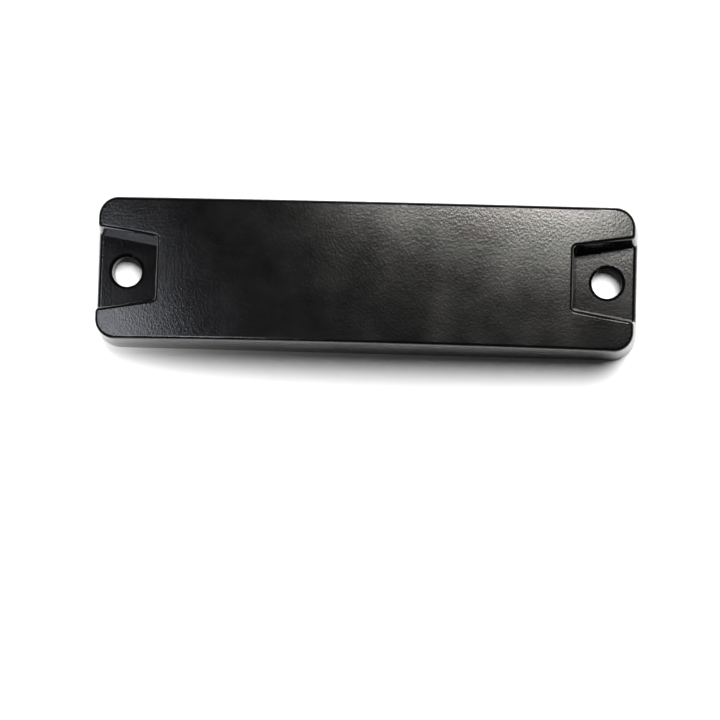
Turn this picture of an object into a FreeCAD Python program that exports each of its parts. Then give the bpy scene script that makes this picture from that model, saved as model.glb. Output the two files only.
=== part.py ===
import FreeCAD, Part
import math
import os

from FreeCAD import Vector

# A screw-down radio-frequency identification tag for metal assets.  A moulded
# housing with an arched roof and two recessed screw ears is closed from below
# by an H-shaped base plate.  Inside, a shorted-patch antenna board with its
# chip is taped to the plate and held down by posts and a foam pad.
# Frame: millimetres, X along the tag, Y across it, +Z up, origin at the
# middle of the mounting face.

# ---- housing, outside -------------------------------------------------------
length = 90.0                 # along X, at the mounting face
width = 24.9                  # along Y, at the mounting face
crown_height = 11.0           # arched roof at mid length
end_height = 8.8              # arched roof above the ends of the mounting face
corner_radius = 4.3           # plan corners at the mounting face
end_draft = 8.5               # degrees that the end walls lean in
side_draft = 5.0              # degrees that the long walls lean in
roof_edge_radius = 0.6        # rounding round the roof and the recess rims
foot_edge_radius = 0.25       # rounding round the mounting face

# ---- screw recesses at the two ends -----------------------------------------
recess_length = 11.1          # end of the mounting face to the recess's rim
recess_inner_width = 10.1     # rim width at the recess's inner wall
recess_flare = 9.6            # degrees that each side opens towards the end
recess_draft = 8.0            # degrees that the recess walls lean back
recess_corner_radius = 0.5    # plan corners at the recess's inner wall
mouth_radius = 0.8            # rounding where a recess opens through the end wall
ear_thickness = 3.3           # mounting face to the recess floor
screw_hole_diameter = 5.0
screw_hole_edge = 5.25        # end of the mounting face to the hole's axis
screw_hole_chamfer = 0.5      # 45 degree lead-in at the recess floor

# ---- walls, rebate and seal -------------------------------------------------
wall = 1.7                    # side walls and recess walls
roof = 1.8                    # roof thickness under the arch
rebate_depth = 1.6            # mounting face to the ledge the plate seats on
ledge_width = 0.8             # ledge all round the cavity
plate_gap = 0.08              # plate edge to the rebate wall
seat_gap = 0.05               # plate top to the ledge
seal_width = 0.45             # sealant bead at the plate's upper edge
seal_height = 0.55
rebate_corner_radius = 0.6    # plan corners round each ear
least_radius = 0.2            # smallest plan corner on any inner outline

# ---- base plate -------------------------------------------------------------
gate_dimple_diameter = 3.0
gate_dimple_depth = 0.35
gate_stub_diameter = 0.9
gate_stub_height = 0.2
locator_thickness = 1.0       # walls that centre the board on the plate
locator_length = 4.0
locator_height = 2.4
locator_gap = 0.15            # board edge to locator, and locator to housing

# ---- antenna board stack ----------------------------------------------------
tape_thickness = 0.15
tape_margin = 1.2             # board edge to tape edge
mask_thickness = 0.04
copper_thickness = 0.07
laminate_thickness = 3.2
board_corner_radius = 0.8
copper_margin = 0.5           # board edge to copper edge
feed_gap = 1.2                # between the two radiators
slot_width = 0.9
slot_bridge = 4.6             # copper left beside each tuning slot
slot_pitch = 7.0
slots_per_radiator = 2
via_count = 5
via_diameter = 0.9
via_bore = 0.6
via_edge = 1.6                # radiator edge to via axis
via_window = 1.6              # opening in the solder mask round each via

# ---- chip on board ----------------------------------------------------------
die_size = 0.8
die_thickness = 0.25
die_setback = 0.25            # radiator edge to die edge
glue_thickness = 0.03
glue_spread = 0.06
wire_diameter = 0.05
wire_rise = 0.3               # top of a wire's arc above the die
wire_reach = 0.35             # radiator edge to the far bond
wire_pitch = 0.4              # between the two wires, across the die
bond_diameter = 0.14
bond_height = 0.03
dome_radius = 2.4             # potting dome, at the board
dome_height = 1.0
dome_window_gap = 0.25        # dome edge to the solder mask

# ---- foam pad and hold-down posts -------------------------------------------
pad_gap = 0.1                 # foam to roof and to the solder mask
pad_margin = 0.6              # board edge to foam edge
pad_window_gap = 0.6          # foam to the potting dome and to the posts
post_diameter = 2.2
post_end = 6.0                # board end to post axis
post_side = 2.2               # board side to post axis
post_gap = 0.05               # post tip to the solder mask

# ---- values that follow -----------------------------------------------------
end_lean = math.tan(math.radians(end_draft))
side_lean = math.tan(math.radians(side_draft))
recess_lean = math.tan(math.radians(recess_draft))
flare = math.radians(recess_flare)
half_length = length / 2
half_width = width / 2
rim_x = half_length - recess_length            # recess inner wall at the rim
hole_x = half_length - screw_hole_edge
arch_rise = crown_height - end_height
arch_radius = (half_length**2 + arch_rise**2) / (2 * arch_rise)
arch_axis_z = crown_height - arch_radius
over = 1.0                                     # how far cutters overrun
one_point = 1e-6                               # nearer than this is the same point
on_line = 1e-3                                 # nearer than this lies on the line tested
edge_steps = 4                                 # places along an edge that are tested

plate_top = rebate_depth - seat_gap
tape_top = plate_top + tape_thickness
ground_bottom = tape_top + mask_thickness
laminate_bottom = ground_bottom + copper_thickness
laminate_top = laminate_bottom + laminate_thickness
copper_top = laminate_top + copper_thickness
mask_top = copper_top + mask_thickness

inner_end_x = rim_x - wall - (mask_top - end_height) * recess_lean
inner_side_y = half_width - wall - mask_top * side_lean
board_length = 2 * (inner_end_x - locator_thickness - 2 * locator_gap)
board_width = 2 * (inner_side_y - locator_thickness - 2 * locator_gap)
patch_width = board_width - 2 * copper_margin
patch_length = (board_length - feed_gap) / 2 - copper_margin
die_x = -feed_gap / 2 - die_setback - die_size / 2
die_bottom = copper_top + glue_thickness
die_top = die_bottom + die_thickness


# ---- small helpers ----------------------------------------------------------
def outline(points, radii, z):
    """Closed wire through plan points, with each corner rounded to its radius."""
    corners = []
    count = len(points)
    for i in range(count):
        here = Vector(points[i][0], points[i][1], z)
        back = Vector(points[i - 1][0], points[i - 1][1], z) - here
        ahead = Vector(points[(i + 1) % count][0], points[(i + 1) % count][1], z) - here
        back.normalize()
        ahead.normalize()
        half_angle = back.getAngle(ahead) / 2
        radius = radii[i]
        if radius <= 0:
            corners.append((here, None, here))
            continue
        reach = radius / math.tan(half_angle)
        middle = back + ahead
        middle.normalize()
        belly = here + middle * (radius / math.sin(half_angle) - radius)
        corners.append((here + back * reach, belly, here + ahead * reach))
    edges = []
    for i in range(count):
        start, belly, end = corners[i]
        last = corners[i - 1][2]
        if last.distanceToPoint(start) > one_point:
            edges.append(Part.LineSegment(last, start).toShape())
        if belly is not None:
            edges.append(Part.Arc(start, belly, end).toShape())
    return Part.Wire(edges)


def rectangle(size_x, size_y, centre_x=0.0, centre_y=0.0):
    """Corner points of a rectangle, anticlockwise."""
    dx, dy = size_x / 2, size_y / 2
    corners = [(-dx, -dy), (dx, -dy), (dx, dy), (-dx, dy)]
    return [(centre_x + x, centre_y + y) for x, y in corners]


def prism(points, radii, z0, z1):
    """Straight block over a rounded outline."""
    return Part.Face(outline(points, radii, z0)).extrude(Vector(0, 0, z1 - z0))


def cylinder(diameter, x, y, z0, z1):
    """Upright cylinder."""
    return Part.makeCylinder(diameter / 2, z1 - z0, Vector(x, y, z0))


def fuse(shapes):
    """One shape from several, with seams between their faces removed."""
    joined = shapes[0]
    if len(shapes) > 1:
        joined = joined.multiFuse(shapes[1:])
    return joined.removeSplitter()


def mirror_x(shape):
    """The same piece at the other end of the tag."""
    return shape.mirror(Vector(0, 0, 0), Vector(1, 0, 0))


def wall_outline(inset, height, level):
    """Outline at an inset from the outer walls as they stand at a height, drawn at a level."""
    inward_x = inset + height * end_lean
    inward_y = inset + height * side_lean
    radius = max(corner_radius - (inward_x + inward_y) / 2, least_radius)
    corners = rectangle(length - 2 * inward_x, width - 2 * inward_y)
    return outline(corners, [radius] * 4, level)


def drafted_block(inset, z0, z1):
    """Block that follows the outer walls at an inset, from one height to another."""
    wires = [wall_outline(inset, z, z) for z in (z0, z1)]
    return Part.makeLoft(wires, True, True)


def under_arch(depth):
    """Everything below the arched roof, lowered by a depth normal to it."""
    radius = arch_radius - depth
    reach = half_length + over
    edge_z = arch_axis_z + math.sqrt(radius**2 - reach**2)
    left, right = Vector(-reach, 0, edge_z), Vector(reach, 0, edge_z)
    low_left, low_right = Vector(-reach, 0, -over), Vector(reach, 0, -over)
    crown = Vector(0, 0, arch_axis_z + radius)
    edges = [
        Part.Arc(left, crown, right).toShape(),
        Part.LineSegment(right, low_right).toShape(),
        Part.LineSegment(low_right, low_left).toShape(),
        Part.LineSegment(low_left, left).toShape(),
    ]
    face = Part.Face(Part.Wire(edges))
    face.translate(Vector(0, -width, 0))
    return face.extrude(Vector(0, 2 * width, 0))


def recess_points(offset):
    """Plan corners of the right-hand recess, grown outwards by an offset."""
    inner_x = rim_x - offset
    outer_x = half_length + 3 * over
    spread = recess_inner_width / 2 + offset / math.cos(flare)
    inner_y = spread + (inner_x - rim_x) * math.tan(flare)
    outer_y = spread + (outer_x - rim_x) * math.tan(flare)
    return [(inner_x, -inner_y), (outer_x, -outer_y), (outer_x, outer_y), (inner_x, inner_y)]


def recess_block(grow, z0, z1):
    """Right-hand recess as a solid, with its walls grown by the wall thickness or not."""
    radius = recess_corner_radius + grow
    wires = []
    for z in (z0, z1):
        offset = grow + (z - end_height) * recess_lean
        wires.append(outline(recess_points(offset), [radius, 0, 0, radius], z))
    return Part.makeLoft(wires, True, True)


# ---- housing ----------------------------------------------------------------
def ear_offset():
    """Offset of the rebate's edge round each ear, so the ledge keeps its width there."""
    return wall + (rebate_depth - end_height) * recess_lean - ledge_width


def rebate_face(shrink):
    """Plan of the rebate that the base plate drops into, made smaller by a gap."""
    face = Part.Face(wall_outline(wall - ledge_width, rebate_depth, 0))
    ear_radii = [rebate_corner_radius, 0, 0, rebate_corner_radius]
    ear = Part.Face(outline(recess_points(ear_offset()), ear_radii, 0))
    face = face.cut(ear).cut(mirror_x(ear)).Faces[0]
    if shrink > 0:
        face = face.makeOffset2D(-shrink)
    return face


def slab(face, z0, z1):
    """A plan face raised to a height and thickened."""
    moved = face.copy()
    moved.translate(Vector(0, 0, z0))
    return moved.extrude(Vector(0, 0, z1 - z0))


def points_along(edge):
    """Evenly spaced points on an edge, from end to end."""
    first, last = edge.ParameterRange
    return [edge.valueAt(first + (last - first) * k / edge_steps) for k in range(edge_steps + 1)]


def on_arch(edge):
    """True for an edge that lies on the arched roof."""
    misses = [abs(math.hypot(p.x, p.z - arch_axis_z) - arch_radius) for p in points_along(edge)]
    return max(misses) < on_line


def on_plane(edge, z):
    """True for an edge that lies in a level plane."""
    return all(abs(p.z - z) < one_point for p in points_along(edge))


def is_mouth_edge(edge):
    """True for an upright edge where a recess wall meets an end wall."""
    points = [v.Point for v in edge.Vertexes]
    if len(points) != 2 or abs(points[0].z - points[1].z) < roof_edge_radius:
        return False
    misses = [abs(abs(p.x) - (half_length - p.z * end_lean)) for p in points]
    return max(misses) < on_line and max(abs(p.y) for p in points) < half_width - corner_radius


def is_ear_edge(edge):
    """True for the straight outer edge of a recess floor."""
    middle = edge.CenterOfMass
    on_end = abs(abs(middle.x) - (half_length - ear_thickness * end_lean)) < on_line
    return on_plane(edge, ear_thickness) and on_end and abs(middle.y) < on_line


def post_places():
    """Axes of the four hold-down posts."""
    x = board_length / 2 - post_end
    y = board_width / 2 - post_side
    return [(side_x * x, side_y * y) for side_x in (-1, 1) for side_y in (-1, 1)]


def rounded_shell():
    """Housing's outside with its recesses and rounded edges, still solid inside."""
    body = drafted_block(0, 0, crown_height + over).common(under_arch(0))
    recess = recess_block(0, ear_thickness, crown_height + over)
    body = body.cut(recess).cut(mirror_x(recess))
    mouth = [e for e in body.Edges if is_mouth_edge(e) or is_ear_edge(e)]
    body = body.makeFillet(mouth_radius, mouth)
    body = body.makeFillet(roof_edge_radius, [e for e in body.Edges if on_arch(e)])
    return body.makeFillet(foot_edge_radius, [e for e in body.Edges if on_plane(e, 0)])


def cavity():
    """Space inside the housing, from the ledge to the roof and round the recess walls."""
    space = drafted_block(wall, rebate_depth, crown_height + over).common(under_arch(roof))
    kept = recess_block(wall, 0, crown_height + over)
    return space.cut(kept).cut(mirror_x(kept))


def screw_hole(side):
    """Cutter for one screw hole and its lead-in."""
    x = side * hole_x
    bore = cylinder(screw_hole_diameter, x, 0, -over, ear_thickness + over)
    radius = screw_hole_diameter / 2
    depth = screw_hole_chamfer + over
    start = Vector(x, 0, ear_thickness - screw_hole_chamfer)
    return bore.fuse(Part.makeCone(radius, radius + depth, depth, start))


def housing():
    """Outer shell: arched roof, drafted walls, recesses with ears, rebate and posts."""
    body = rounded_shell()
    body = body.cut(cavity()).cut(slab(rebate_face(0), -over, rebate_depth))
    for side in (-1, 1):
        body = body.cut(screw_hole(side))
    inside_roof = under_arch(roof / 2)
    posts = []
    for x, y in post_places():
        post = cylinder(post_diameter, x, y, mask_top + post_gap, crown_height)
        posts.append(post.common(inside_roof))
    return fuse([body] + posts)


# ---- base plate and seal ----------------------------------------------------
def locators():
    """Low walls on the plate that centre the board, a pair at each corner."""
    x = board_length / 2 + locator_gap + locator_thickness / 2
    y = board_width / 2 + locator_gap + locator_thickness / 2
    along_x = board_length / 2 - board_corner_radius - locator_length / 2
    along_y = board_width / 2 - board_corner_radius - locator_length / 2
    walls = []
    for side_x in (-1, 1):
        for side_y in (-1, 1):
            end = rectangle(locator_thickness, locator_length, side_x * x, side_y * along_y)
            flank = rectangle(locator_length, locator_thickness, side_x * along_x, side_y * y)
            for corners in (end, flank):
                top = plate_top + locator_height
                walls.append(prism(corners, [0] * 4, plate_top - seat_gap, top))
    return walls


def base_plate():
    """Flat closure with a stepped upper edge, board locators and a gate mark below."""
    step = rebate_depth - seal_height
    lower = slab(rebate_face(plate_gap), 0, step)
    upper = slab(rebate_face(plate_gap + seal_width), step, plate_top)
    plate = fuse([lower, upper] + locators())
    dimple = cylinder(gate_dimple_diameter, 0, 0, -over, gate_dimple_depth)
    stub_bottom = gate_dimple_depth - gate_stub_height
    stub = cylinder(gate_stub_diameter, 0, 0, stub_bottom, gate_dimple_depth)
    return fuse([plate.cut(dimple), stub])


def perimeter_seal():
    """Cured sealant bead in the channel between plate, rebate wall and ledge."""
    outer = rebate_face(0)
    inner = rebate_face(seal_width + plate_gap)
    return slab(outer.cut(inner), rebate_depth - seal_height, rebate_depth)


# ---- antenna board ----------------------------------------------------------
def board_outline(margin):
    """Plan points of the board, drawn in by a margin."""
    return rectangle(board_length - 2 * margin, board_width - 2 * margin)


def via_places(side):
    """Axes of the row of plated holes at one end of the board."""
    x = board_length / 2 - copper_margin - via_edge
    run = patch_width - 2 * via_edge
    return [(side * x, -run / 2 + run * k / (via_count - 1)) for k in range(via_count)]


def all_via_places():
    """Axes of both rows of plated holes."""
    return via_places(-1) + via_places(1)


def drilled(body, places, diameter, z0, z1):
    """A body with holes drilled at given places."""
    tools = [cylinder(diameter, x, y, z0 - over, z1 + over) for x, y in places]
    return body.cut(Part.Compound(tools))


def antenna_board():
    """Glass-epoxy laminate with its drilled via holes."""
    radii = [board_corner_radius] * 4
    board = prism(board_outline(0), radii, laminate_bottom, laminate_top)
    return drilled(board, all_via_places(), via_diameter, laminate_bottom, laminate_top)


def radiator(side):
    """Etched patch on one half of the board, with tuning slots cut from its sides."""
    inner_x = feed_gap / 2
    centre_x = inner_x + patch_length / 2
    corners = rectangle(patch_length, patch_width, centre_x, 0)
    patch = prism(corners, [0] * 4, laminate_top, copper_top)
    for k in range(slots_per_radiator):
        x = centre_x + (k - (slots_per_radiator - 1) / 2) * slot_pitch
        side_y = 1 if k % 2 else -1
        slot_y = side_y * slot_bridge
        slot = rectangle(slot_width, patch_width, x, slot_y)
        patch = patch.cut(prism(slot, [0] * 4, laminate_top - over, copper_top + over))
    if side < 0:
        patch = patch.mirror(Vector(0, 0, 0), Vector(1, 0, 0))
    return drilled(patch, via_places(side), via_diameter, laminate_top, copper_top)


def ground_plane():
    """Copper over the whole underside of the laminate."""
    corners = board_outline(copper_margin)
    sheet = prism(corners, [0] * 4, ground_bottom, laminate_bottom)
    return drilled(sheet, all_via_places(), via_diameter, ground_bottom, laminate_bottom)


def via_barrels(side):
    """Plated barrels that join one radiator to the ground plane."""
    barrels = []
    for x, y in via_places(side):
        barrel = cylinder(via_diameter, x, y, ground_bottom, copper_top)
        bore = cylinder(via_bore, x, y, ground_bottom - over, copper_top + over)
        barrels.append(barrel.cut(bore))
    return Part.Compound(barrels)


def top_solder_mask():
    """Lacquer over the laminate and radiators, open at the vias and the chip."""
    film = prism(board_outline(0), [board_corner_radius] * 4, laminate_top, mask_top)
    film = film.cut(Part.Compound([radiator(-1), radiator(1)]))
    film = drilled(film, all_via_places(), via_window, laminate_top, mask_top)
    window = 2 * (dome_radius + dome_window_gap)
    return drilled(film, [(0, 0)], window, laminate_top, mask_top)


def bottom_solder_mask():
    """Lacquer over the ground plane, open at the vias."""
    film = prism(board_outline(0), [board_corner_radius] * 4, tape_top, laminate_bottom)
    film = film.cut(prism(board_outline(copper_margin), [0] * 4, ground_bottom, laminate_bottom))
    return drilled(film, all_via_places(), via_window, tape_top, laminate_bottom)


# ---- chip on board ----------------------------------------------------------
def die_block(spread, z0, z1):
    """Square block under or in place of the chip."""
    size = die_size + 2 * spread
    return prism(rectangle(size, size, die_x, 0), [0] * 4, z0, z1)


def bond_wire(start, end):
    """Looped wire between two bonds, with a flat foot at each end."""
    foot_top = Vector(0, 0, bond_height)
    first, last = start + foot_top, end + foot_top
    middle = (first + last) / 2
    middle.z = die_top + bond_height + wire_rise
    arc = Part.Arc(first, middle, last)
    section = Part.Wire(Part.Circle(first, arc.tangent(arc.FirstParameter)[0], wire_diameter / 2).toShape())
    sweep = Part.Wire(arc.toShape()).makePipeShell([section], True, False)
    feet = [Part.makeCylinder(bond_diameter / 2, bond_height, point) for point in (start, end)]
    return sweep.fuse(feet)


def bond_wires():
    """One wire from the chip to each radiator."""
    far = wire_reach + feed_gap / 2
    y = wire_pitch / 2
    on_die = die_size / 2 - bond_diameter
    right = bond_wire(Vector(die_x + on_die, y, die_top), Vector(far, y, copper_top))
    left_end = die_x - die_size / 2 - glue_spread - wire_reach
    left = bond_wire(Vector(die_x - on_die, -y, die_top), Vector(left_end, -y, copper_top))
    return Part.Compound([right, left])


def chip_dome():
    """Potting compound over the chip, its wires and the feed gap."""
    ball_radius = (dome_radius**2 + dome_height**2) / (2 * dome_height)
    ball = Part.makeSphere(ball_radius, Vector(0, 0, copper_top + dome_height - ball_radius))
    skirt = cylinder(2 * dome_radius, 0, 0, laminate_top, copper_top + dome_height)
    dome = ball.common(skirt)
    inside = [radiator(-1), radiator(1), die_block(glue_spread, copper_top, die_bottom)]
    inside += [die_block(0, die_bottom, die_top), bond_wires()]
    for piece in inside:
        dome = dome.cut(piece)
    return dome


# ---- tape and foam ----------------------------------------------------------
def board_tape():
    """Double-sided tape between the board and the base plate."""
    return prism(board_outline(tape_margin), [0] * 4, plate_top, tape_top)


def foam_pad():
    """Foam that fills the space between the board and the arched roof."""
    corners = board_outline(pad_margin)
    pad = prism(corners, [board_corner_radius] * 4, mask_top + pad_gap, crown_height)
    pad = pad.common(under_arch(roof + pad_gap))
    hole = post_diameter + 2 * pad_window_gap
    pad = drilled(pad, post_places(), hole, 0, crown_height)
    window = 2 * (dome_radius + pad_window_gap)
    return pad.cut(cylinder(window, 0, 0, 0, copper_top + dome_height + pad_window_gap))


# ---- build and write --------------------------------------------------------
def sub_parts():
    """Every separate piece by name."""
    return {
        "housing": housing(),
        "base_plate": base_plate(),
        "perimeter_seal": perimeter_seal(),
        "board_tape": board_tape(),
        "bottom_solder_mask": bottom_solder_mask(),
        "ground_plane": ground_plane(),
        "antenna_board": antenna_board(),
        "left_via_barrels": via_barrels(-1),
        "right_via_barrels": via_barrels(1),
        "left_radiator": radiator(-1),
        "right_radiator": radiator(1),
        "top_solder_mask": top_solder_mask(),
        "die_attach": die_block(glue_spread, copper_top, die_bottom),
        "radio_chip": die_block(0, die_bottom, die_top),
        "bond_wires": bond_wires(),
        "chip_dome": chip_dome(),
        "foam_pad": foam_pad(),
    }


os.makedirs("parts", exist_ok=True)
for name, shape in sub_parts().items():
    if not shape.isValid() or not shape.Solids:
        raise RuntimeError(name + " is not a valid solid")
    shape.exportStep(os.path.join("parts", name + ".step"))
    print(f"{name}: {len(shape.Solids)} solids, {shape.Volume:.2f} mm3, {len(shape.Faces)} faces")
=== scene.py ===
# %% [markdown]
# # A screw-down identification tag, finished in Blender
#
# The tag is a slim black moulding with an arched roof and a screw ear at each end. A base plate
# closes it from below, and an antenna board with a bare chip lies inside. Its solids come ready
# made, in metres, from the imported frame. This lesson gives every one of them a surface, remakes the
# foam pad as real foam, and sets up a small studio. The first step loads the frame and keeps its box.

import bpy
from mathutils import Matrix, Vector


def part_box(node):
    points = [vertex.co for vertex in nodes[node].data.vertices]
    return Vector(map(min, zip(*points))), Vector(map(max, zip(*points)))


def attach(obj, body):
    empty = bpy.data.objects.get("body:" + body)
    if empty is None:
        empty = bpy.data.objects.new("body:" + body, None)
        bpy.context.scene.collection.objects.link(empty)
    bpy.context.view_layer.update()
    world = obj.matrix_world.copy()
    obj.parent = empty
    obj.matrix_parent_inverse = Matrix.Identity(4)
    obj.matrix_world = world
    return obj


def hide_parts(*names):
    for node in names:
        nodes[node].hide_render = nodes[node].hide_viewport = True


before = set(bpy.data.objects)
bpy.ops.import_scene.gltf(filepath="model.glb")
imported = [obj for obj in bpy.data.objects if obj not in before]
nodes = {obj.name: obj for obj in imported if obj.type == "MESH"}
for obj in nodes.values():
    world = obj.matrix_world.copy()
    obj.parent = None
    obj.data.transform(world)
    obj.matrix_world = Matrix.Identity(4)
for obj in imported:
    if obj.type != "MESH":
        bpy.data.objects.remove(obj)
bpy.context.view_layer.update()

import math

import bpy
from mathutils import Euler, Quaternion, Vector

MM = 0.001
housing_low, housing_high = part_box("housing")


def in_mm(lengths):
    """Lengths in millimetres, rounded for reading."""
    return [round(length / MM, 2) for length in lengths]


print("nodes:", len(nodes), "housing in mm:", in_mm(housing_high - housing_low))

# %% [markdown]
# ## Tools for the materials
#
# Colours are given as sRGB hex values, which is how a colour chart gives them. A shader works
# in linear light, so one function turns the one into the other.


# %% Colours
def linear(hex_colour, lift=1.0):
    """Linear RGBA from an sRGB hex value such as 0C0C0D, made lighter or darker by a factor."""
    channels = [int(hex_colour[i : i + 2], 16) / 255 for i in (0, 2, 4)]
    light = [c / 12.92 if c <= 0.04045 else ((c + 0.055) / 1.055) ** 2.4 for c in channels]
    return [c * lift for c in light] + [1.0]


def grey(value):
    """A grey for a ramp that carries a number."""
    return (value, value, value, 1.0)


print("black plastic in linear light:", [round(channel, 4) for channel in linear("0A0A0B")])

# %% [markdown]
# A material is a small tree of nodes. Two functions keep its steps readable: one fills or links a
# node's inputs, and the other adds a node with its settings. Each pattern reads the piece's own Object
# coordinates, so it stays put on the piece, and its scale comes from a real size in millimetres.


# %% Nodes
def feed(tree, node, inputs):
    """Gives each named or numbered input of a node a value, or a link from a socket."""
    for name, value in inputs.items():
        if isinstance(value, bpy.types.NodeSocket):
            tree.links.new(value, node.inputs[name])
        else:
            node.inputs[name].default_value = value


def add(tree, kind, inputs, stops=(), **settings):
    """Adds a node with its settings, its inputs, and its stops where it is a colour ramp."""
    node = tree.nodes.new(kind)
    for name, value in settings.items():
        setattr(node, name, value)
    feed(tree, node, inputs)
    if stops:
        elements = node.color_ramp.elements
        while len(elements) < len(stops):
            elements.new(0.5)
        for element, (position, colour) in zip(elements, stops):
            element.position = position
            element.color = colour
    return node


def per_metre(size_mm):
    """The scale of a pattern whose cells are this many millimetres across."""
    return 1 / (size_mm * MM)


print("a grain of 0.5 mm has the scale", per_metre(0.5))

# %% [markdown]
# Every material here is one Principled shader, so its start is always the same. A CAD node keeps its
# shape and only gets a new material in its slot.


# %% Start and use a material
def start_material(name):
    """An empty material: its tree, its shader and the piece's own coordinates."""
    material = bpy.data.materials.new(name)
    material.use_nodes = True
    tree = material.node_tree
    tree.nodes.clear()
    shader = add(tree, "ShaderNodeBsdfPrincipled", {})
    add(tree, "ShaderNodeOutputMaterial", {"Surface": shader.outputs["BSDF"]})
    place = add(tree, "ShaderNodeTexCoord", {}).outputs["Object"]
    return material, tree, shader, place


def paint(material, *names):
    """Gives CAD nodes a material in place of the one that they came with."""
    for name in names:
        nodes[name].data.materials.clear()
        nodes[name].data.materials.append(material)
    print(material.name, "->", ", ".join(names))


# %% [markdown]
# ## Black ABS, moulded in a spark-eroded tool
#
# The housing is ABS with black masterbatch. Spark erosion leaves the steel of the mould covered in
# tiny overlapping craters, and the plastic copies them, so the surface is satin with a fine grain
# that only shows where it catches a light. The grain is rubbed smooth where hands touch it first, on
# the rounded edges. A worn edge could be painted by hand, but fillets and chamfers give themselves
# away by the direction they face, which is neither level nor upright, so the normal finds them.

# %% Find the rounded edges
UPRIGHT_TILT, STEEP_TILT = 0.16, 0.30  # Z of the normal where a wall ends and a fillet has begun
SHALLOW_TILT, LEVEL_TILT = 0.93, 0.985  # Z of the normal where a fillet ends and a roof has begun


def rounded_edges(tree):
    """1 on fillets and chamfers, 0 on level and upright faces."""
    facing = add(tree, "ShaderNodeNewGeometry", {}).outputs["Normal"]
    split = add(tree, "ShaderNodeSeparateXYZ", {0: facing})
    tilt = add(tree, "ShaderNodeMath", {0: split.outputs["Z"]}, operation="ABSOLUTE").outputs[0]
    stops = [
        (UPRIGHT_TILT, grey(0)),
        (STEEP_TILT, grey(1)),
        (SHALLOW_TILT, grey(1)),
        (LEVEL_TILT, grey(0)),
    ]
    return add(tree, "ShaderNodeValToRGB", {"Fac": tilt}, stops).outputs["Color"]


print("fillets face between", STEEP_TILT, "and", SHALLOW_TILT, "of straight up")

# %% [markdown]
# The grain could be an all-over noise, but noise alone looks like cloth. A smoothed Voronoi pattern
# gives the craters, and a finer noise gives the spaces between them. Both are drawn finer along the
# tag than across it, because the long lamps stretch every highlight along the tag. Real grain of this
# kind is about 0.1 mm, too fine to show, so it is drawn a few times coarser.

# %% The mould's grain
CRATER_SMOOTHNESS = 0.7
GRIT_SHARE = 0.6  # the finer noise against the craters
GRAIN_SQUEEZE = (1.6, 1.0, 1.0)


def mould_grain(tree, place, grain_mm):
    """A height pattern of soft craters with grit between them."""
    squeezed = add(tree, "ShaderNodeMapping", {"Vector": place, "Scale": GRAIN_SQUEEZE}).outputs[0]
    craters = add(
        tree,
        "ShaderNodeTexVoronoi",
        {"Vector": squeezed, "Scale": per_metre(grain_mm), "Smoothness": CRATER_SMOOTHNESS},
        feature="SMOOTH_F1",
    ).outputs["Distance"]
    grit = add(
        tree,
        "ShaderNodeTexNoise",
        {"Vector": squeezed, "Scale": per_metre(grain_mm * GRIT_SHARE), "Detail": 3.0},
    ).outputs["Fac"]
    return add(tree, "ShaderNodeMath", {0: craters, 1: grit}, operation="ADD").outputs[0]


print("grit is", GRIT_SHARE, "of a crater")

# %% [markdown]
# The plastic itself is not quite even: it cools at slightly different speeds, which leaves patches a
# few millimetres across where it is a shade lighter or glossier. One slow noise drives both the
# colour and the roughness, and the edges are glossier because they are worn.

# %% Spark-eroded ABS
ABS_IOR = 1.54
PATCH_MM = 7
PATCH_LIFT = 1.35  # a light patch against a dark one
PATCH_ROUGHNESS = 0.03  # rougher or glossier than the mean by this much
WORN_GLOSS = 0.08  # how much less rough a worn edge is
GRAIN_STRENGTH, WORN_STRENGTH = 0.5, 0.12


def spark_eroded_abs(name, colour, roughness, grain_mm, depth_mm):
    """Satin black plastic with the grain of a spark-eroded mould."""
    material, tree, shader, place = start_material(name)
    edges = rounded_edges(tree)
    patches = add(
        tree, "ShaderNodeTexNoise", {"Vector": place, "Scale": per_metre(PATCH_MM), "Detail": 4.0}
    ).outputs["Fac"]
    tone_stops = [(0.3, linear(colour)), (0.75, linear(colour, PATCH_LIFT))]
    tone = add(tree, "ShaderNodeValToRGB", {"Fac": patches}, tone_stops).outputs["Color"]

    satin_range = {"To Min": roughness - PATCH_ROUGHNESS, "To Max": roughness + PATCH_ROUGHNESS}
    satin = add(
        tree, "ShaderNodeMapRange", {"Value": patches, "From Min": 0.3, "From Max": 0.7, **satin_range}
    ).outputs["Result"]
    worn = add(tree, "ShaderNodeMath", {0: edges, 1: WORN_GLOSS}, operation="MULTIPLY").outputs[0]
    gloss = add(tree, "ShaderNodeMath", {0: satin, 1: worn}, operation="SUBTRACT").outputs[0]

    kept = add(
        tree, "ShaderNodeMapRange", {"Value": edges, "To Min": GRAIN_STRENGTH, "To Max": WORN_STRENGTH}
    ).outputs["Result"]
    relief = mould_grain(tree, place, grain_mm)
    bump = add(tree, "ShaderNodeBump", {"Height": relief, "Distance": depth_mm * MM, "Strength": kept})

    finish = {"Base Color": tone, "Roughness": gloss, "Normal": bump.outputs["Normal"], "IOR": ABS_IOR}
    feed(tree, shader, finish)
    return material


housing_abs = spark_eroded_abs("abs_spark_eroded_black", "0A0A0B", 0.19, grain_mm=0.46, depth_mm=0.02)
plate_abs = spark_eroded_abs("abs_fine_ground_black", "0E0E0F", 0.34, grain_mm=0.34, depth_mm=0.01)
paint(housing_abs, "housing")
paint(plate_abs, "base_plate")

# %% [markdown]
# ## Sealant
#
# The bead round the base plate is cured silicone. It was squeezed out as a paste and skinned over, so
# it is satin with slow waves. Modelling the waves would cost a fine mesh for a bead half a millimetre
# wide, and a soft noise as bump shows the same thing.

# %% Cured silicone
SILICONE_IOR = 1.41
SILICONE_WAVE_MM, SILICONE_WAVE_HEIGHT_MM = 2.5, 0.05


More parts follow.
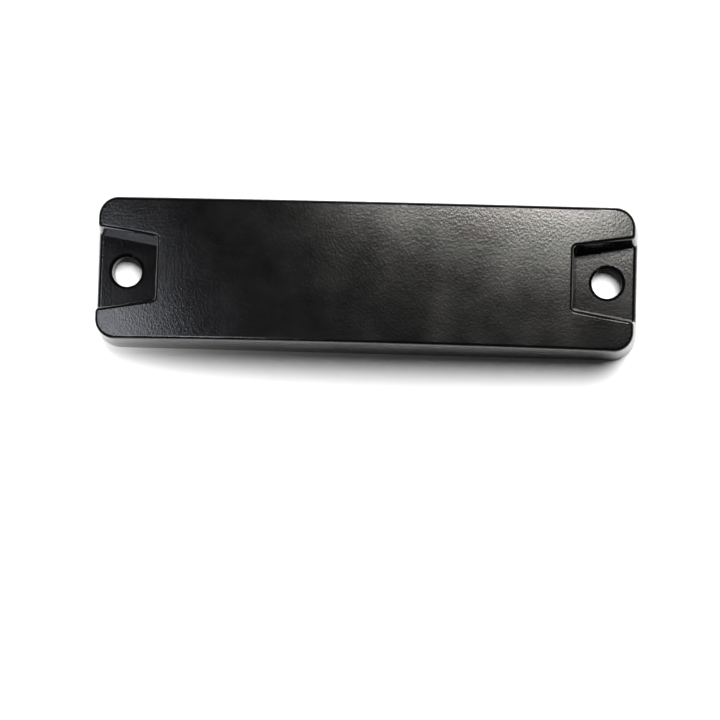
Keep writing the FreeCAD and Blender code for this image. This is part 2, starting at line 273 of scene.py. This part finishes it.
def cured_silicone():
    """Satin black rubber with a slow waviness."""
    material, tree, shader, place = start_material("silicone_cured_black")
    wave = add(
        tree, "ShaderNodeTexNoise", {"Vector": place, "Scale": per_metre(SILICONE_WAVE_MM), "Detail": 2.0}
    ).outputs["Fac"]
    height = SILICONE_WAVE_HEIGHT_MM * MM
    bump = add(tree, "ShaderNodeBump", {"Height": wave, "Distance": height, "Strength": 0.5})
    sheen = add(tree, "ShaderNodeMapRange", {"Value": wave, "To Min": 0.35, "To Max": 0.5})
    finish = {"Normal": bump.outputs["Normal"], "Roughness": sheen.outputs["Result"]}
    feed(tree, shader, {**finish, "Base Color": linear("161617"), "IOR": SILICONE_IOR})
    return material


paint(cured_silicone(), "perimeter_seal")

# %% [markdown]
# ## Tape
#
# The tape under the board is clear acrylic adhesive on a thin white tissue. The tissue's fibres run
# along the roll, so an ordinary noise is squeezed across them until it looks like fibres.

# %% Acrylic tape on tissue
ACRYLIC_IOR = 1.47
FIBRE_MM, FIBRE_RELIEF_MM = 1.2, 0.01
FIBRE_SQUEEZE = (1.0, 6.0, 1.0)


def acrylic_tape():
    """Tacky clear adhesive over a white carrier with a faint fibre pattern."""
    material, tree, shader, place = start_material("tape_acrylic_on_tissue")
    along = add(tree, "ShaderNodeMapping", {"Vector": place, "Scale": FIBRE_SQUEEZE}).outputs[0]
    fibres = add(
        tree, "ShaderNodeTexNoise", {"Vector": along, "Scale": per_metre(FIBRE_MM), "Detail": 6.0}
    ).outputs["Fac"]
    tone_stops = [(0.35, linear("D9D6CC")), (0.65, linear("F2F0EA"))]
    tone = add(tree, "ShaderNodeValToRGB", {"Fac": fibres}, tone_stops)
    relief = FIBRE_RELIEF_MM * MM
    bump = add(tree, "ShaderNodeBump", {"Height": fibres, "Distance": relief, "Strength": 0.4})
    finish = {"Base Color": tone.outputs["Color"], "Normal": bump.outputs["Normal"]}
    feed(tree, shader, {**finish, "Roughness": 0.28, "IOR": ACRYLIC_IOR})
    return material


paint(acrylic_tape(), "board_tape")

# %% [markdown]
# ## The antenna board
#
# The laminate is glass cloth in epoxy. Its yarns cross at right angles about half a millimetre apart,
# and they show as a faint check through the amber resin. Two wave patterns, one along each axis, make
# that weave better than a noise would. A little light passes under the surface, because resin and
# glass are both clear.

# %% Laminate
WAVE_TURN = 2 * math.pi / 20  # Blender's bands turn 20 radians per unit at scale 1
EPOXY_IOR = 1.55
YARN_MM, YARN_RELIEF_MM = 0.55, 0.01
RESIN_DEPTH_MM = 0.4  # how far light strays inside the resin


def woven_glass_epoxy():
    material, tree, shader, place = start_material("fr4_woven_glass_epoxy")
    scale = per_metre(YARN_MM) * WAVE_TURN
    yarns = {"Vector": place, "Scale": scale, "Distortion": 0.6, "Detail Scale": 2.0}
    warp = add(tree, "ShaderNodeTexWave", yarns, bands_direction="X").outputs["Fac"]
    weft = add(tree, "ShaderNodeTexWave", yarns, bands_direction="Y").outputs["Fac"]
    weave = add(tree, "ShaderNodeMath", {0: warp, 1: weft}, operation="MULTIPLY").outputs[0]
    tone_stops = [(0.0, linear("A8A05C")), (1.0, linear("CFC98C"))]
    tone = add(tree, "ShaderNodeValToRGB", {"Fac": weave}, tone_stops)
    relief = YARN_RELIEF_MM * MM
    bump = add(tree, "ShaderNodeBump", {"Height": weave, "Distance": relief, "Strength": 0.5})
    finish = {"Base Color": tone.outputs["Color"], "Normal": bump.outputs["Normal"]}
    depth = {"Subsurface Weight": 0.15, "Subsurface Scale": RESIN_DEPTH_MM * MM}
    feed(tree, shader, {**finish, **depth, "Roughness": 0.36, "IOR": EPOXY_IOR})
    return material


paint(woven_glass_epoxy(), "antenna_board")

# %% [markdown]
# ## Copper and gold
#
# The radiators and the ground plane are etched copper foil, brushed along the board by rollers before
# it was coated. The vias have a flash of gold, and the wires are drawn gold. All three are metals with
# fine streaks along one direction, so one function makes them: a noise stretched along the board
# changes the roughness, the tone and a very shallow bump.

# %% Copper, gold flash and gold wire
STREAK_STRETCH = (0.06, 1.0, 1.0)
STREAK_RELIEF_MM = 0.004
STREAK_SHADE = 0.75  # the dull side of a streak against the bright one
STREAK_GLOSS, STREAK_MATT = 0.08, 0.1  # less rough and rougher than the metal's own roughness


def brushed_metal(name, colour, roughness, streak_mm):
    """Thin metal with fine streaks along the board."""
    material, tree, shader, place = start_material(name)
    drawn = add(tree, "ShaderNodeMapping", {"Vector": place, "Scale": STREAK_STRETCH}).outputs[0]
    streaks = add(
        tree, "ShaderNodeTexNoise", {"Vector": drawn, "Scale": per_metre(streak_mm), "Detail": 5.0}
    ).outputs["Fac"]
    gloss_range = {"To Min": roughness - STREAK_GLOSS, "To Max": roughness + STREAK_MATT}
    gloss = add(tree, "ShaderNodeMapRange", {"Value": streaks, **gloss_range})
    tone_stops = [(0.3, linear(colour, STREAK_SHADE)), (0.7, linear(colour))]
    tone = add(tree, "ShaderNodeValToRGB", {"Fac": streaks}, tone_stops)
    relief = STREAK_RELIEF_MM * MM
    bump = add(tree, "ShaderNodeBump", {"Height": streaks, "Distance": relief, "Strength": 0.5})
    finish = {"Base Color": tone.outputs["Color"], "Roughness": gloss.outputs["Result"]}
    feed(tree, shader, {**finish, "Normal": bump.outputs["Normal"], "Metallic": 1.0})
    return material


copper = brushed_metal("copper_etched_foil", "D08A66", 0.32, streak_mm=0.15)
gold_flash = brushed_metal("gold_flash_on_copper", "E2B45A", 0.24, streak_mm=0.1)
gold_wire = brushed_metal("gold_drawn_wire", "F0C56B", 0.16, streak_mm=0.02)
paint(copper, "left_radiator", "right_radiator", "ground_plane")
paint(gold_flash, "left_via_barrels", "right_via_barrels")
paint(gold_wire, "bond_wires")

# %% [markdown]
# ## Solder mask
#
# The solder mask is a green lacquer, printed wet and baked. It levels almost flat and keeps a slow
# unevenness, which shows as lighter and darker green. A clear coat over the base gives the sharp
# reflection of a lacquer above its softer body.

# %% Green lacquer
LACQUER_WAVE_MM, LACQUER_WAVE_HEIGHT_MM = 1.6, 0.02


def green_solder_mask():
    """Glossy green lacquer, a little thicker here and thinner there."""
    material, tree, shader, place = start_material("solder_mask_green_lacquer")
    coat = add(
        tree, "ShaderNodeTexNoise", {"Vector": place, "Scale": per_metre(LACQUER_WAVE_MM), "Detail": 2.0}
    ).outputs["Fac"]
    tone_stops = [(0.3, linear("0C4F2B")), (0.7, linear("12693A"))]
    tone = add(tree, "ShaderNodeValToRGB", {"Fac": coat}, tone_stops)
    height = LACQUER_WAVE_HEIGHT_MM * MM
    bump = add(tree, "ShaderNodeBump", {"Height": coat, "Distance": height, "Strength": 0.3})
    finish = {"Base Color": tone.outputs["Color"], "Normal": bump.outputs["Normal"]}
    feed(tree, shader, {**finish, "Roughness": 0.18, "Coat Weight": 0.5, "Coat Roughness": 0.08})
    return material


paint(green_solder_mask(), "top_solder_mask", "bottom_solder_mask")

# %% [markdown]
# ## The chip
#
# The chip is a polished silicon die. Its circuit is a grid of blocks in slightly different greys. The
# blocks could be drawn one by one, but a Voronoi pattern measured with the Chebychev distance already
# has straight-sided cells, each with a random colour.

# %% Polished silicon
CIRCUIT_BLOCK_MM = 0.09


def polished_silicon():
    """Dark mirror-like silicon with a faint mosaic of circuit blocks."""
    material, tree, shader, place = start_material("silicon_polished_die")
    cells = {"Vector": place, "Scale": per_metre(CIRCUIT_BLOCK_MM)}
    blocks = add(tree, "ShaderNodeTexVoronoi", cells, distance="CHEBYCHEV").outputs["Color"]
    tone_stops = [(0.2, linear("3A3D49")), (0.8, linear("6C6F80"))]
    tone = add(tree, "ShaderNodeValToRGB", {"Fac": blocks}, tone_stops)
    feed(tree, shader, {"Base Color": tone.outputs["Color"], "Metallic": 0.7, "Roughness": 0.12})
    return material


paint(polished_silicon(), "radio_chip")

# %% [markdown]
# The glue under the chip is epoxy full of silver flakes. A fine noise is both the flakes' colour and
# the mask that says where the surface is metal.

# %% Silver-filled glue
FLAKE_MM = 0.03


def silver_filled_glue():
    """Grey epoxy full of silver flakes."""
    material, tree, shader, place = start_material("epoxy_silver_filled")
    flakes = add(
        tree, "ShaderNodeTexNoise", {"Vector": place, "Scale": per_metre(FLAKE_MM), "Detail": 3.0}
    ).outputs["Fac"]
    tone_stops = [(0.4, linear("8A8A88")), (0.6, linear("D4D4D0"))]
    tone = add(tree, "ShaderNodeValToRGB", {"Fac": flakes}, tone_stops)
    metal_stops = [(0.45, grey(0.2)), (0.6, grey(0.9))]
    metal = add(tree, "ShaderNodeValToRGB", {"Fac": flakes}, metal_stops)
    finish = {"Base Color": tone.outputs["Color"], "Metallic": metal.outputs["Color"]}
    feed(tree, shader, {**finish, "Roughness": 0.38})
    return material


paint(silver_filled_glue(), "die_attach")

# %% [markdown]
# A drop of black epoxy covers the chip and its wires. It flowed before it set, so it is glossy with a
# few long ripples, and the same noise makes it a little duller on their crests.

# %% Potting epoxy
RIPPLE_MM, RIPPLE_HEIGHT_MM = 1.8, 0.03


def potting_epoxy():
    """Black epoxy that flowed into a drop and set glossy."""
    material, tree, shader, place = start_material("epoxy_potting_black")
    ripple = add(
        tree, "ShaderNodeTexNoise", {"Vector": place, "Scale": per_metre(RIPPLE_MM), "Detail": 1.5}
    ).outputs["Fac"]
    height = RIPPLE_HEIGHT_MM * MM
    bump = add(tree, "ShaderNodeBump", {"Height": ripple, "Distance": height, "Strength": 0.4})
    gloss = add(tree, "ShaderNodeMapRange", {"Value": ripple, "To Min": 0.14, "To Max": 0.26})
    finish = {"Normal": bump.outputs["Normal"], "Roughness": gloss.outputs["Result"]}
    feed(tree, shader, {**finish, "Base Color": linear("0B0B0D"), "IOR": EPOXY_IOR})
    return material


paint(potting_epoxy(), "chip_dome")

# %% [markdown]
# ## The foam pad
#
# The pad is closed-cell foam, die-cut from sheet and squeezed between the board and the roof. A plain
# solid with sharp edges would look like card, so it is modelled again, starting from a block a little
# inside the pad's space. Each new piece has its place put into its mesh, so its object stays at the
# origin as the CAD nodes' objects do.

# %% Start from a block
FOAM_GAP_MM = 0.2  # from the foam to the roof, and from its sides to the edge of its space
pad_low, pad_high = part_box("foam_pad")


def made(name):
    """The piece just added, named, with its place put into its mesh."""
    bpy.ops.object.transform_apply(location=True, rotation=True, scale=True)
    piece = bpy.context.object
    piece.name = name
    return piece


bpy.ops.object.select_all(action="DESELECT")
block = pad_high - pad_low - Vector((1, 1, 0)) * 2 * FOAM_GAP_MM * MM
bpy.ops.mesh.primitive_cube_add(size=1, location=(pad_low + pad_high) / 2, scale=block)
pad = made("foam_pad_die_cut")
print("block in mm:", in_mm(pad.dimensions))

# %% [markdown]
# The roof is an arc, low and very long, so the pad's top is one too. Moving the top's points by a
# formula would need many cuts first. It is simpler to keep only what the block shares with a very
# large lying cylinder whose radius comes from the arch's rise over half the tag's length.

# %% Round the top to the roof's arch
CROWN_MM = 11.0  # roof at mid length
END_HEIGHT_MM = 8.8  # roof above the ends
HALF_LENGTH_MM = 45.0
ROOF_MM = 1.8  # the roof's thickness
ARCH_SIDES = 2000  # flats of about 1.4 mm round a radius of 460 mm
ARCH_WIDTH = 0.1  # metres, wider than the pad

arch_rise = CROWN_MM - END_HEIGHT_MM
arch_radius_mm = (HALF_LENGTH_MM**2 + arch_rise**2) / (2 * arch_rise)


def apply_modifier(piece, kind, **settings):
    """Adds a modifier, sets it and applies it."""
    modifier = piece.modifiers.new(kind.lower(), kind)
    for name, value in settings.items():
        setattr(modifier, name, value)
    bpy.context.view_layer.objects.active = piece
    bpy.ops.object.modifier_apply(modifier=modifier.name)


def carve(piece, tool, operation):
    """Cuts a piece with a tool, or keeps only what the two share, and removes the tool."""
    apply_modifier(piece, "BOOLEAN", object=tool, operation=operation, solver="EXACT")
    bpy.data.objects.remove(tool)


bpy.ops.object.select_all(action="DESELECT")
bpy.ops.mesh.primitive_cylinder_add(
    vertices=ARCH_SIDES,
    radius=(arch_radius_mm - ROOF_MM - FOAM_GAP_MM) * MM,
    depth=ARCH_WIDTH,
    location=(0, 0, (CROWN_MM - arch_radius_mm) * MM),
    rotation=(math.pi / 2, 0, 0),
)
carve(pad, made("arch"), "INTERSECT")
print("arch radius in mm:", round(arch_radius_mm, 1), "pad's points:", len(pad.data.vertices))

# %% [markdown]
# The die also cuts four notches for the posts that hold the board down, and a pocket for the chip's
# drop of epoxy. Each is an upright pin taken away from the block.

# %% Cut the notches and the pocket
PIN_SIDES = 48
POST_INSET_MM = (5.4, 1.6)  # pad's corner to each post's axis, along X and Y
POST_HOLE_MM = 1.8  # radius
DOME_ROOM_MM = 0.7
dome_low, dome_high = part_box("chip_dome")


def pin(name, x, y, radius, bottom, top):
    """An upright cylinder."""
    bpy.ops.object.select_all(action="DESELECT")
    middle = (x, y, (bottom + top) / 2)
    bpy.ops.mesh.primitive_cylinder_add(
        vertices=PIN_SIDES, radius=radius, depth=top - bottom, location=middle
    )
    return made(name)


post_x = pad_high.x - POST_INSET_MM[0] * MM
post_y = pad_high.y - POST_INSET_MM[1] * MM
for side_x in (-1, 1):
    for side_y in (-1, 1):
        post = pin("post", side_x * post_x, side_y * post_y, POST_HOLE_MM * MM, 0, housing_high.z)
        carve(pad, post, "DIFFERENCE")
dome_radius = (dome_high.x - dome_low.x) / 2 + DOME_ROOM_MM * MM
carve(pad, pin("dome", 0, 0, dome_radius, 0, dome_high.z + DOME_ROOM_MM * MM), "DIFFERENCE")
print("cut pad:", len(pad.data.vertices), "points, in mm:", in_mm(pad.dimensions))

# %% [markdown]
# Foam has no crisp edge. The block is rebuilt from fine cubes, relaxed so that its edges round over,
# and then roughened by a cloud pattern as small as the foam's own cells, so cut faces look torn. Cloth
# simulation would suit a slack cushion, but this pad is stiff and held flat all over.

# %% Soften and roughen
VOXEL_MM = 0.2
CELL_MM = 0.4
CELL_RELIEF_MM = 0.07

apply_modifier(pad, "REMESH", mode="VOXEL", voxel_size=VOXEL_MM * MM)
apply_modifier(pad, "SMOOTH", factor=0.5, iterations=8)
cells = bpy.data.textures.new("foam_cells", "CLOUDS")
cells.noise_scale = CELL_MM * MM
apply_modifier(
    pad, "DISPLACE", texture=cells, texture_coords="LOCAL", strength=CELL_RELIEF_MM * MM, mid_level=0.5
)
triangles = sum(len(polygon.vertices) - 2 for polygon in pad.data.polygons)
print("foam pad:", triangles, "triangles, in mm:", in_mm(pad.dimensions))

# %% [markdown]
# The foam is matt and dark grey, and every cell that the die cut open is a small hollow. Its colour is
# darker towards each hollow's middle, which is painted shade. The same soft Voronoi pattern as for the
# mould's grain serves, now at the size of the cells.

# %% Closed-cell foam
HOLLOW_DEPTH_MM = 0.1


def closed_cell_foam():
    """Dark grey foam: matt cell walls, and a hollow in each cut cell darkened by painted shade."""
    material, tree, shader, place = start_material("foam_closed_cell_grey")
    hollow_depth_and_shade = add(
        tree,
        "ShaderNodeTexVoronoi",
        {"Vector": place, "Scale": per_metre(CELL_MM), "Smoothness": 0.3},
        feature="SMOOTH_F1",
    ).outputs["Distance"]
    # painted shade: the colour darkens towards the middle of each cut cell, where the hollow is
    tone_stops = [(0.1, linear("3B3C3E")), (0.5, linear("5C5D60"))]
    tone = add(tree, "ShaderNodeValToRGB", {"Fac": hollow_depth_and_shade}, tone_stops)
    depth = HOLLOW_DEPTH_MM * MM
    bump = add(tree, "ShaderNodeBump", {"Height": hollow_depth_and_shade, "Distance": depth, "Strength": 0.7})
    finish = {"Base Color": tone.outputs["Color"], "Normal": bump.outputs["Normal"]}
    feed(tree, shader, {**finish, "Roughness": 0.85, "Specular IOR Level": 0.3})
    return material


pad.data.materials.clear()
pad.data.materials.append(closed_cell_foam())
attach(pad, "root")
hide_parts("foam_pad")
print(pad.name, "rides on root and stands for foam_pad")

# %% [markdown]
# ## Studio floor
#
# The tag lies on seamless white card. A flat white plane would do from far off. Close by, card has a
# faint tooth, so a fine noise gives it a very shallow bump.

# %% White card
CARD_SIZE = 4.0  # metres
TOOTH_MM, TOOTH_HEIGHT_MM = 0.8, 0.02


def matt_white():
    """Seamless white card."""
    material, tree, shader, place = start_material("card_matt_white")
    tooth = add(
        tree, "ShaderNodeTexNoise", {"Vector": place, "Scale": per_metre(TOOTH_MM), "Detail": 4.0}
    ).outputs["Fac"]
    height = TOOTH_HEIGHT_MM * MM
    bump = add(tree, "ShaderNodeBump", {"Height": tooth, "Distance": height, "Strength": 0.1})
    finish = {"Normal": bump.outputs["Normal"], "Base Color": linear("F4F4F4")}
    feed(tree, shader, {**finish, "Roughness": 0.9, "Specular IOR Level": 0.1})
    return material


bpy.ops.object.select_all(action="DESELECT")
bpy.ops.mesh.primitive_plane_add(size=CARD_SIZE, location=(0, 0, housing_low.z))
floor = bpy.context.object
floor.name = "studio_floor"
floor.data.materials.append(matt_white())
print(floor.name, "is", CARD_SIZE, "m across")

# %% [markdown]
# ## The room
#
# Black satin plastic shows what is round it more than its own colour. An all-white room would turn
# every rounded edge into a white line. So the room is dark, with a soft grey band at the horizon that
# just lifts the walls.

# %% Dark room
HORIZON_STRENGTH = 0.25
CEILING_STRENGTH = 0.005
BAND_TOP, BAND_END = 0.18, 0.42  # heights where the band starts to fade and is gone


def dark_room():
    """World light: a pale band at the horizon that fades into a dark ceiling."""
    world = bpy.data.worlds.new("dark_room")
    world.use_nodes = True
    tree = world.node_tree
    tree.nodes.clear()
    direction = add(tree, "ShaderNodeTexCoord", {}).outputs["Generated"]
    height = add(tree, "ShaderNodeSeparateXYZ", {0: direction}).outputs["Z"]
    stops = [(0.0, grey(1)), (BAND_TOP, grey(1)), (BAND_END, grey(0)), (1.0, grey(0))]
    band = add(tree, "ShaderNodeValToRGB", {"Fac": height}, stops).outputs["Color"]
    levels = {"Value": band, "To Min": CEILING_STRENGTH, "To Max": HORIZON_STRENGTH}
    strength = add(tree, "ShaderNodeMapRange", levels).outputs["Result"]
    background = add(tree, "ShaderNodeBackground", {"Color": linear("FFFFFF"), "Strength": strength})
    add(tree, "ShaderNodeOutputWorld", {"Surface": background.outputs[0]})
    bpy.context.scene.world = world
    print(world.name, "has strength", HORIZON_STRENGTH, "at the horizon")


dark_room()

# %% [markdown]
# ## Lamps for the tag
#
# The roof is lit by what it mirrors: a softbox close above the back right corner, and a weaker one to
# the left. A softbox is an area lamp, given by its radiance, so it looks equally bright at any size.
# Lamps are hidden from the camera, which real ones are by standing outside the frame.


# %% Two softboxes for the tag
def hang(lamp, place_mm, aim_mm, turn_degrees=0):
    """Puts a lamp at a place, facing a point, then turns it about its own axis."""
    shown = bpy.data.objects.new(lamp.name, lamp)
    bpy.context.scene.collection.objects.link(shown)
    place = Vector(place_mm) * MM
    shown.location = place
    facing = (place - Vector(aim_mm) * MM).to_track_quat("Z", "Y")
    spin = Quaternion((0, 0, 1), math.radians(turn_degrees))
    shown.rotation_euler = (facing @ spin).to_euler()
    shown.visible_camera = False
    return shown


def softbox(name, place_mm, aim_mm, size_mm, radiance, colour, turn_degrees=0):
    """A rectangular lamp, its first side along X until it is turned."""
    lamp = bpy.data.lights.new(name, "AREA")
    lamp.shape = "RECTANGLE"
    lamp.size, lamp.size_y = [side * MM for side in size_mm]
    lamp.energy = radiance * math.pi * lamp.size * lamp.size_y
    lamp.color = linear(colour)[:3]
    return hang(lamp, place_mm, aim_mm, turn_degrees)


tag_lamps = [
    softbox(
        "softbox_back_right",
        place_mm=(38, 61, 165),
        aim_mm=(38, 35, 10),
        size_mm=(100, 44),
        radiance=24,
        colour="FFFCF6",
        turn_degrees=-9,
    ),
    softbox(
        "softbox_left",
        place_mm=(-112, -46, 230),
        aim_mm=(-40, -8, 8),
        size_mm=(164, 44),
        radiance=7,
        colour="F2F5FF",
    ),
]
print("tag lamps:", [lamp.name for lamp in tag_lamps])

# %% [markdown]
# ## Lamps for the card
#
# The card has lamps of its own. A wide round cloth far off at the back burns it out to white and
# leaves a short soft shadow under the front wall. It is a sun lamp, because a sun lights the whole
# card alike, and its angle is the cloth's width in the sky. A very small softbox by the front left
# corner opens that end of the shadow.


# %% Scrim and small fill for the card
def scrim(name, place_mm, aim_mm, spread_degrees, strength):
    """A round lit cloth so far off that it lights the whole card alike."""
    lamp = bpy.data.lights.new(name, "SUN")
    lamp.angle = math.radians(spread_degrees)
    lamp.energy = strength
    return hang(lamp, place_mm, aim_mm)


card_lamps = [
    scrim(
        "scrim_card",
        place_mm=(75, 152, 330),
        aim_mm=(0, -13, 0),
        spread_degrees=37,
        strength=5.8,
    ),
    softbox(
        "fill_card_left",
        place_mm=(-58.5, -19, 6.5),
        aim_mm=(-50, -12, 0),
        size_mm=(6, 6),
        radiance=76,
        colour="FFFFFF",
    ),
]
print("card lamps:", [lamp.name for lamp in card_lamps])

# %% [markdown]
# In a studio, black flags would keep each lamp off what it shouldn't light. Light linking does that
# here without shadows of the flags: the card lamps see only the card, and the tag lamps see
# everything but the card. The tag's walls still mirror the white card beside them.

# %% Flags
card_only = bpy.data.collections.new("card_only")
card_only.objects.link(floor)
for lamp in card_lamps:
    lamp.light_linking.receiver_collection = card_only

off_card = bpy.data.collections.new("off_card")
off_card.objects.link(floor)
off_card.collection_objects[0].light_linking.link_state = "EXCLUDE"
for lamp in tag_lamps:
    lamp.light_linking.receiver_collection = off_card
print("flags:", card_only.name, "and", off_card.name)

# %% [markdown]
# ## Camera
#
# The camera looks down almost square to the roof from 300 mm, leaning a few degrees to the front and
# to the right so that the front wall and the right end wall just show. It is placed by turning one
# offset, given in the camera's own axes, with the camera.

# %% Camera
CAMERA_TURN_DEGREES = (3.8, 2.94, 1.75)
CAMERA_OFFSET_MM = (-1.02, -13.44, 300.0)
LENS_MM = 89.8
SENSOR_MM = 36.0
NEAREST, FARTHEST = 0.01, 10.0  # metres that the camera sees between

lens = bpy.data.cameras.new("camera")
lens.lens = LENS_MM
lens.sensor_width = SENSOR_MM
lens.clip_start = NEAREST
lens.clip_end = FARTHEST
camera = bpy.data.objects.new("camera", lens)
bpy.context.scene.collection.objects.link(camera)
turn = Euler([math.radians(angle) for angle in CAMERA_TURN_DEGREES])
camera.rotation_euler = turn
camera.location = turn.to_matrix() @ (Vector(CAMERA_OFFSET_MM) * MM)
bpy.context.scene.camera = camera
bpy.context.scene.view_settings.view_transform = "Standard"
print("camera at, in mm:", in_mm(camera.location))
